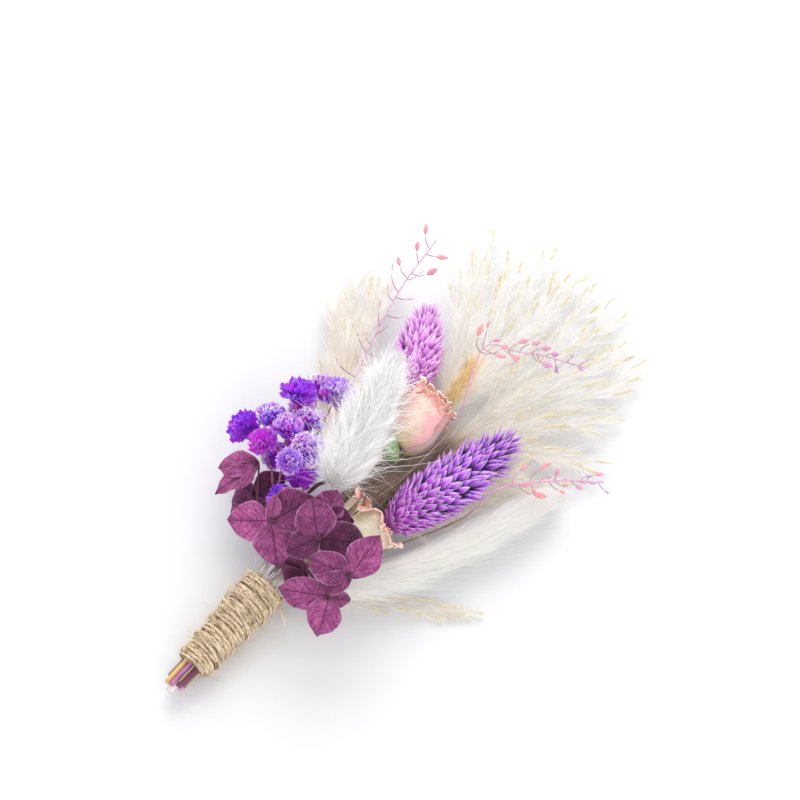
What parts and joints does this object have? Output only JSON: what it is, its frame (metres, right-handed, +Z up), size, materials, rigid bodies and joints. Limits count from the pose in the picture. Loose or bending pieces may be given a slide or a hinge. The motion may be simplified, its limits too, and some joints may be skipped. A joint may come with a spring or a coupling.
{
  "type": "boutonniere",
  "caption": "Dried flower boutonniere lying on its side: roses, hydrangea florets, dyed grass heads and feathery plumes, stems bound with jute twine.",
  "frame": {"origin": "on the flat rest face under the middle of the twine wrap", "axes": "+Y along the stems from the cut ends to the plume tips, +Z up from the surface it lies on"},
  "size_m": [0.103, 0.1726, 0.0367],
  "materials": {
    "jute": "rough natural jute twine with loose fibres",
    "rose_blush": "dry matte petals, blush with crinkled peach tips",
    "rose_cream": "dry matte petals, cream with coral rolled edges",
    "rose_sepal": "dry matte olive green",
    "phalaris_violet": "dyed dry scales, violet with pale edges",
    "phalaris_orchid": "dyed dry scales, orchid pink",
    "phalaris_stalk": "dry stem stained by dye",
    "bunny_tail_fur": "soft white fur of fine hairs",
    "bunny_tail_stalk": "dry straw stem",
    "hydrangea_stalk": "dry stem stained mauve",
    "hydrangea_plum": "dry matte sepals with a fine net of veins",
    "gypsophila_stalk": "thin dry stained stem",
    "gypsophila_violet": "dyed ruffled petals, violet with pale edges",
    "pepper_grass_pink": "dyed dry stem and pods, pink",
    "plume_cream": "dry feathery grass, cream and tan",
    "plume_silver": "dry silky grass, white"
  },
  "bodies": {
    "root": {"twine_wrap": "jute", "rose_bloom_upper": "rose_blush", "rose_bloom_lower": "rose_cream", "rose_stem_upper": "rose_sepal", "rose_stem_lower": "rose_sepal", "phalaris_head_right": "phalaris_violet", "phalaris_head_back": "phalaris_orchid", "phalaris_stem_right": "phalaris_stalk", "phalaris_stem_back": "phalaris_stalk", "bunny_tail_head": "bunny_tail_fur", "bunny_tail_stem": "bunny_tail_stalk", "hydrangea_stem": "hydrangea_stalk", "hydrangea_floret_a": "hydrangea_plum", "hydrangea_floret_b": "hydrangea_plum", "hydrangea_floret_c": "hydrangea_plum", "hydrangea_floret_d": "hydrangea_plum", "hydrangea_floret_e": "hydrangea_plum", "hydrangea_floret_f": "hydrangea_plum", "hydrangea_floret_g": "hydrangea_plum", "hydrangea_floret_h": "hydrangea_plum", "gypsophila_stems": "gypsophila_stalk", "gypsophila_head_01": "gypsophila_violet", "gypsophila_head_02": "gypsophila_violet", "gypsophila_head_03": "gypsophila_violet", "gypsophila_head_04": "gypsophila_violet", "gypsophila_head_05": "gypsophila_violet", "gypsophila_head_06": "gypsophila_violet", "gypsophila_head_07": "gypsophila_violet", "gypsophila_head_08": "gypsophila_violet", "gypsophila_head_09": "gypsophila_violet", "gypsophila_head_10": "gypsophila_violet", "gypsophila_head_11": "gypsophila_violet", "gypsophila_head_12": "gypsophila_violet", "gypsophila_head_13": "gypsophila_violet", "gypsophila_head_14": "gypsophila_violet", "gypsophila_head_15": "gypsophila_violet", "gypsophila_head_16": "gypsophila_violet", "pepper_grass_back": "pepper_grass_pink", "pepper_grass_middle": "pepper_grass_pink", "pepper_grass_right": "pepper_grass_pink", "plume_back": "plume_cream", "plume_side": "plume_cream", "plume_left": "plume_cream", "plume_white": "plume_silver"}
  },
  "joints": []
}
